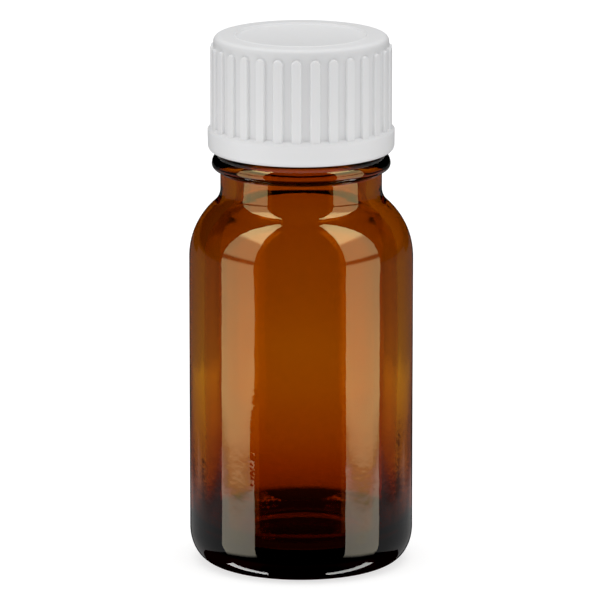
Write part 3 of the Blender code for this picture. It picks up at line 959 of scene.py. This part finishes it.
def natural_plastic():
    finish, tree, shader = new_material("natural_plastic")
    cloud = noise_texture(tree, INSERT_CLOUD_SCALE, 3.0)
    tree.links.new(mottled(tree, cloud.outputs["Fac"], *INSERT_TONES), shader.inputs["Base Color"])
    grain = noise_texture(tree, INSERT_GRAIN_SCALE, 2.0)
    tree.links.new(mapped(tree, grain.outputs["Fac"], 0.35, 0.5), shader.inputs["Roughness"])
    tree.links.new(bump(tree, grain.outputs["Fac"], INSERT_GRAIN_DEPTH), shader.inputs["Normal"])
    shader.inputs["Subsurface Weight"].default_value = 0.6
    shader.inputs["Subsurface Scale"].default_value = 1.0 * MM
    return finish


def liner_foam():
    finish, tree, shader = new_material("liner_foam")
    cells = noise_texture(tree, FOAM_CELL_SCALE, 2.0)
    tree.links.new(mottled(tree, cells.outputs["Fac"], *FOAM_TONES), shader.inputs["Base Color"])
    tree.links.new(mapped(tree, cells.outputs["Fac"], 0.65, 0.85), shader.inputs["Roughness"])
    tree.links.new(bump(tree, cells.outputs["Fac"], FOAM_CELL_DEPTH, 0.6), shader.inputs["Normal"])
    return finish


def make_camera():
    lens = bpy.data.cameras.new("camera")
    lens.sensor_width = SENSOR_WIDTH
    lens.lens = CAMERA_LENS
    camera = bpy.data.objects.new("camera", lens)
    tilt = math.radians(CAMERA_ELEVATION)
    camera.location = (
        CAMERA_SIDE,
        -CAMERA_DISTANCE * math.cos(tilt),
        CAMERA_TARGET_Z + CAMERA_DISTANCE * math.sin(tilt),
    )
    camera.rotation_euler = (math.pi / 2 - tilt, 0.0, 0.0)
    bpy.context.scene.collection.objects.link(camera)
    bpy.context.scene.camera = camera
    return camera


def area_light(name, azimuth, elevation, distance, width, height, radiance, rig, lift=0.0):
    """A rectangular light that faces the bottle. Azimuth 0 is at the camera's side, 90 at its right."""
    light = bpy.data.lights.new(name, "AREA")
    light.shape = "RECTANGLE"
    light.size = width
    light.size_y = height
    light.energy = radiance * math.pi * width * height
    made = bpy.data.objects.new(name, light)
    turn, tilt = math.radians(azimuth), math.radians(elevation)
    out = Vector((math.sin(turn) * math.cos(tilt), -math.cos(turn) * math.cos(tilt), math.sin(tilt)))
    made.location = out * distance + Vector((0.0, 0.0, lift))
    made.rotation_euler = out.to_track_quat("Z", "Y").to_euler()
    made.visible_camera = False
    made.parent = rig
    bpy.context.scene.collection.objects.link(made)
    return made


def upright_light(name, azimuth, distance, half_angle, low, high, radiance, rig):
    """An upright light that spans an angle to each side and a range of heights."""
    width = 2 * distance * math.tan(math.radians(half_angle))
    return area_light(name, azimuth, 0.0, distance, width, high - low, radiance, rig, (low + high) / 2)


def light_place(made):
    """The light's node tree with its share of the width (from local -X) and of the height (from below)."""
    made.data.use_nodes = True
    tree = made.data.node_tree
    place = tree.nodes.new("ShaderNodeNewGeometry")
    parts = tree.nodes.new("ShaderNodeSeparateXYZ")
    tree.links.new(place.outputs["Parametric"], parts.inputs["Vector"])
    return tree, parts.outputs["X"], parts.outputs["Y"]


def ramp_between(tree, source, start, end, low=0.0, high=1.0, kind="SMOOTHSTEP"):
    """A change from low to high while the source goes from start to end."""
    change = tree.nodes.new("ShaderNodeMapRange")
    change.interpolation_type = kind
    change.inputs["From Min"].default_value = start
    change.inputs["From Max"].default_value = end
    change.inputs["To Min"].default_value = low
    change.inputs["To Max"].default_value = high
    tree.links.new(source, change.inputs["Value"])
    return change.outputs["Result"]


def combined(tree, operation, first, second):
    made = tree.nodes.new("ShaderNodeMath")
    made.operation = operation
    tree.links.new(first, made.inputs[0])
    tree.links.new(second, made.inputs[1])
    return made.outputs["Value"]


def product(tree, first, second):
    return combined(tree, "MULTIPLY", first, second)


def subtract_from_one(tree, source):
    return ramp_between(tree, source, 0.0, 1.0, 1.0, 0.0, "LINEAR")


def above(tree, first, second, softness):
    """1 where the first value is above the second, and 0 where it is below."""
    return ramp_between(tree, combined(tree, "SUBTRACT", first, second), 0.0, softness)


def light_only(lights, name, pieces):
    """Keeps lights to some pieces, as a photographer's flags do."""
    group = bpy.data.collections.new(name)
    for piece in pieces:
        group.objects.link(piece)
    for light in lights:
        light.light_linking.receiver_collection = group


def height_ramp(tree, up, low, high, tones):
    """Colours at given heights on a light that reaches from low to high."""
    first, last = tones[0][0], tones[-1][0]
    span = tree.nodes.new("ShaderNodeMapRange")
    span.inputs["From Min"].default_value = (first - low) / (high - low)
    span.inputs["From Max"].default_value = (last - low) / (high - low)
    tree.links.new(up, span.inputs["Value"])
    ramp = tree.nodes.new("ShaderNodeValToRGB")
    tree.links.new(span.outputs["Result"], ramp.inputs["Fac"])
    fill_ramp(ramp, [((height - first) / (last - first), colour) for height, colour in tones])
    return ramp.outputs["Color"]


def strip_share(height):
    """How far up a strip this height is, from 0 to 1."""
    return (height - STRIP_LOW) / (STRIP_HIGH - STRIP_LOW)


def strip_ramp(tree, up, heights, start, end):
    """A change from start to end between two heights of a strip."""
    return ramp_between(tree, up, strip_share(heights[0]), strip_share(heights[1]), start, end)


def strip_outline(tree, side, across, up, taper_low):
    """1 inside the strip's shape, which narrows from behind, and has a notch at the left one's inner edge."""
    back = subtract_from_one(tree, across) if side < 0 else across
    low, high = strip_share(taper_low), strip_share(taper_low + STRIP_NARROWING)
    narrowing = ramp_between(tree, up, low, high, 1.0, 0.0, "LINEAR")
    shape = above(tree, narrowing, back, STRIP_EDGE)
    if side > 0:
        return shape
    opening = strip_ramp(tree, up, NOTCH_LOW, 0.0, NOTCH_WIDTH)
    notch = product(tree, opening, strip_ramp(tree, up, NOTCH_HIGH, 1.0, 0.0))
    return product(tree, shape, above(tree, back, notch, NOTCH_EDGE))


def strip_gain(tree, up):
    """The strip's brightness with height: a soft foot, the dark joint, the bright hood and the tip."""
    foot = strip_ramp(tree, up, STRIP_FOOT, 0.0, 1.0)
    hood = strip_ramp(tree, up, STRIP_HOOD, 1.0, HOOD_GAIN)
    tip = strip_ramp(tree, up, STRIP_TIP, 1.0, TIP_GAIN)
    under = (STRIP_JOINT - JOINT_SOFT, STRIP_JOINT - JOINT_DARK)
    over = (STRIP_JOINT + JOINT_DARK, STRIP_JOINT + JOINT_SOFT)
    lower = strip_ramp(tree, up, under, 1.0, JOINT_GAIN)
    upper = strip_ramp(tree, up, over, 0.0, 1.0 - JOINT_GAIN)
    joint = combined(tree, "ADD", lower, upper)
    return product(tree, product(tree, foot, joint), product(tree, hood, tip))


def strip_light(name, side, azimuth, half_angle, taper_low, rig):
    """A tall softbox that narrows from behind towards its top. side is -1 at the camera's left."""
    made = upright_light(
        name, side * azimuth, STRIP_DISTANCE, half_angle, STRIP_LOW, STRIP_HIGH, 1.0, rig
    )
    tree, across, up = light_place(made)
    shape = strip_outline(tree, side, across, up, taper_low)
    light = tree.nodes["Emission"]
    tree.links.new(product(tree, shape, strip_gain(tree, up)), light.inputs["Strength"])
    tree.links.new(height_ramp(tree, up, STRIP_LOW, STRIP_HIGH, STRIP_TONES), light.inputs["Color"])
    return made


def backdrop_panel(azimuth, rig):
    """Lights what is seen through the glass, and ends softly just above the bottle's foot."""
    name = f"backdrop_{azimuth:.0f}"
    panel = upright_light(
        name, azimuth, BACKDROP_DISTANCE, BACKDROP_HALF, BACKDROP_LOW, BACKDROP_HIGH, 1.0, rig
    )
    tree, _, up = light_place(panel)
    shade = LEFT_SHADE if azimuth > 180.0 else RIGHT_SHADE
    if azimuth == 180.0:
        tones = BACKDROP_MIDDLE
    elif abs(azimuth - 180.0) < 45.0:
        tones = BACKDROP_NEAR_SIDE + ((BACKDROP_TOP, shade),)
    else:
        tones = BACKDROP_FAR_SIDE + ((BACKDROP_TOP, shade),)
    colour = height_ramp(tree, up, BACKDROP_LOW, BACKDROP_HIGH, tones)
    tree.links.new(colour, tree.nodes["Emission"].inputs["Color"])
    panel.visible_glossy = False
    return panel


def steep_light(rig):
    """A gridded panel close behind the bottle, lit only for the steep rays bent down by its neck."""
    panel = upright_light(*STEEP_PANEL, 1.0, rig)
    panel.data.use_nodes = True
    tree = panel.data.node_tree
    place = tree.nodes.new("ShaderNodeNewGeometry")
    facing = tree.nodes.new("ShaderNodeVectorMath")
    facing.operation = "DOT_PRODUCT"
    tree.links.new(place.outputs["Incoming"], facing.inputs[0])
    tree.links.new(place.outputs["Normal"], facing.inputs[1])
    size = tree.nodes.new("ShaderNodeMath")
    size.operation = "ABSOLUTE"
    tree.links.new(facing.outputs["Value"], size.inputs[0])
    grid = ramp_between(tree, size.outputs["Value"], *STEEP_FACING, 1.0, 0.0)
    tree.links.new(grid, tree.nodes["Emission"].inputs["Strength"])
    panel.visible_glossy = False
    return panel


def fill_light(name, azimuth, distance, half_angle, low, high, rig):
    """Weak light from beside and behind, weaker above the table's edge than below it."""
    panel = upright_light(name, azimuth, distance, half_angle, low, high, 1.0, rig)
    tree, _, up = light_place(panel)
    edge = (TABLE_EDGE_DROP - TABLE_EDGE_SLOPE * distance - low) / (high - low)
    soft = TABLE_EDGE_SOFT
    strength = ramp_between(tree, up, edge - soft, edge + soft, FILL_BELOW, FILL_ABOVE)
    tree.links.new(strength, tree.nodes["Emission"].inputs["Strength"])
    return panel


def mirrored_only(light):
    """The glass's outside mirrors this light, and it isn't seen through the glass."""
    light.visible_transmission = False
    return light


def glass_lights(rig):
    """Softboxes beside the bottle, a lit backdrop behind it and weak light for its rim and foot."""
    lights = [strip_light(*strip, rig) for strip in STRIPS]
    lights += [backdrop_panel(azimuth, rig) for azimuth in BACKDROP_AZIMUTHS]
    lights.append(steep_light(rig))
    for side, end in ((-1, "left"), (1, "right")):
        for name, azimuth, *place in FILLS:
            lights.append(mirrored_only(fill_light(f"{name}_{end}", side * azimuth, *place, rig)))
    lights += [mirrored_only(area_light(*place, rig)) for place in TABLE_LIGHTS]
    return lights


def plastic_lights(rig):
    """Soft light on the cap from both sides, from above, and from the table below."""
    lights = [area_light(*place, rig) for place in CAP_SIDE_LIGHTS]
    for place in CAP_SOFT_LIGHTS:
        light = area_light(*place, rig)
        light.visible_glossy = False
        lights.append(light)
    return lights


def studio_world():
    """White behind the object for the camera, soft light on it, and a dim room through the glass."""
    world = bpy.data.worlds.new("studio")
    world.use_nodes = True
    bpy.context.scene.world = world
    tree = world.node_tree
    seen = tree.nodes["Background"]
    seen.inputs["Color"].default_value = (1.0, 1.0, 1.0, 1.0)
    ambient = tree.nodes.new("ShaderNodeBackground")
    ambient.inputs["Color"].default_value = (1.0, 1.0, 1.0, 1.0)
    path = tree.nodes.new("ShaderNodeLightPath")
    through = path.outputs["Is Transmission Ray"]
    tree.links.new(ramp_between(tree, through, 0.0, 1.0, AMBIENT, DIM_ROOM), ambient.inputs["Strength"])
    mix = tree.nodes.new("ShaderNodeMixShader")
    tree.links.new(path.outputs["Is Camera Ray"], mix.inputs["Fac"])
    tree.links.new(ambient.outputs[0], mix.inputs[1])
    tree.links.new(seen.outputs[0], mix.inputs[2])
    tree.links.new(mix.outputs[0], tree.nodes["World Output"].inputs["Surface"])
    world.cycles_visibility.glossy = False


def make_studio(camera, glass, others):
    """Lights on a rig that turns with the camera, as when the product turns on a table."""
    rig = bpy.data.objects.new("light_rig", None)
    rig.location = (0.0, 0.0, CAMERA_TARGET_Z)
    bpy.context.scene.collection.objects.link(rig)
    bpy.context.view_layer.update()
    rig.parent = camera
    rig.matrix_parent_inverse = camera.matrix_world.inverted()
    light_only(glass_lights(rig), "lit_glass", glass)
    light_only(plastic_lights(rig), "lit_plastic", others)
    studio_world()


def make_floor():
    """A pale floor that the camera sees. The glass sees the studio round it and not the floor."""
    shape = bmesh.new()
    bmesh.ops.create_circle(shape, cap_ends=True, segments=FLOOR_COLUMNS, radius=FLOOR_RADIUS)
    mesh = bpy.data.meshes.new("floor")
    shape.to_mesh(mesh)
    shape.free()
    floor = bpy.data.objects.new("floor", mesh)
    finish, tree, shader = new_material("floor_paper")
    shader.inputs["Base Color"].default_value = (*FLOOR_TONE, 1.0)
    shader.inputs["Roughness"].default_value = 0.9
    shader.inputs["Specular IOR Level"].default_value = 0.0
    shader.inputs["Emission Color"].default_value = (1.0, 1.0, 1.0, 1.0)
    place = tree.nodes.new("ShaderNodeTexCoord")
    away = tree.nodes.new("ShaderNodeVectorMath")
    away.operation = "LENGTH"
    tree.links.new(place.outputs["Object"], away.inputs[0])
    glow = ramp_between(tree, away.outputs["Value"], *GLOW_SPAN, FLOOR_GLOW, FAR_GLOW)
    tree.links.new(glow, shader.inputs["Emission Strength"])
    mesh.materials.append(finish)
    bpy.context.scene.collection.objects.link(floor)
    floor.visible_diffuse = False
    floor.visible_glossy = False
    floor.visible_transmission = False
    floor.visible_volume_scatter = False
    floor.visible_shadow = False
    return floor


glass = glass_piece(amber_glass())
cap = cap_piece(white_plastic())
liner = liner_piece(liner_foam())
insert = insert_piece(natural_plastic())
floor = make_floor()
make_studio(make_camera(), [glass], [cap, liner, insert, floor])
scene = bpy.context.scene
scene.view_settings.view_transform = "Standard"
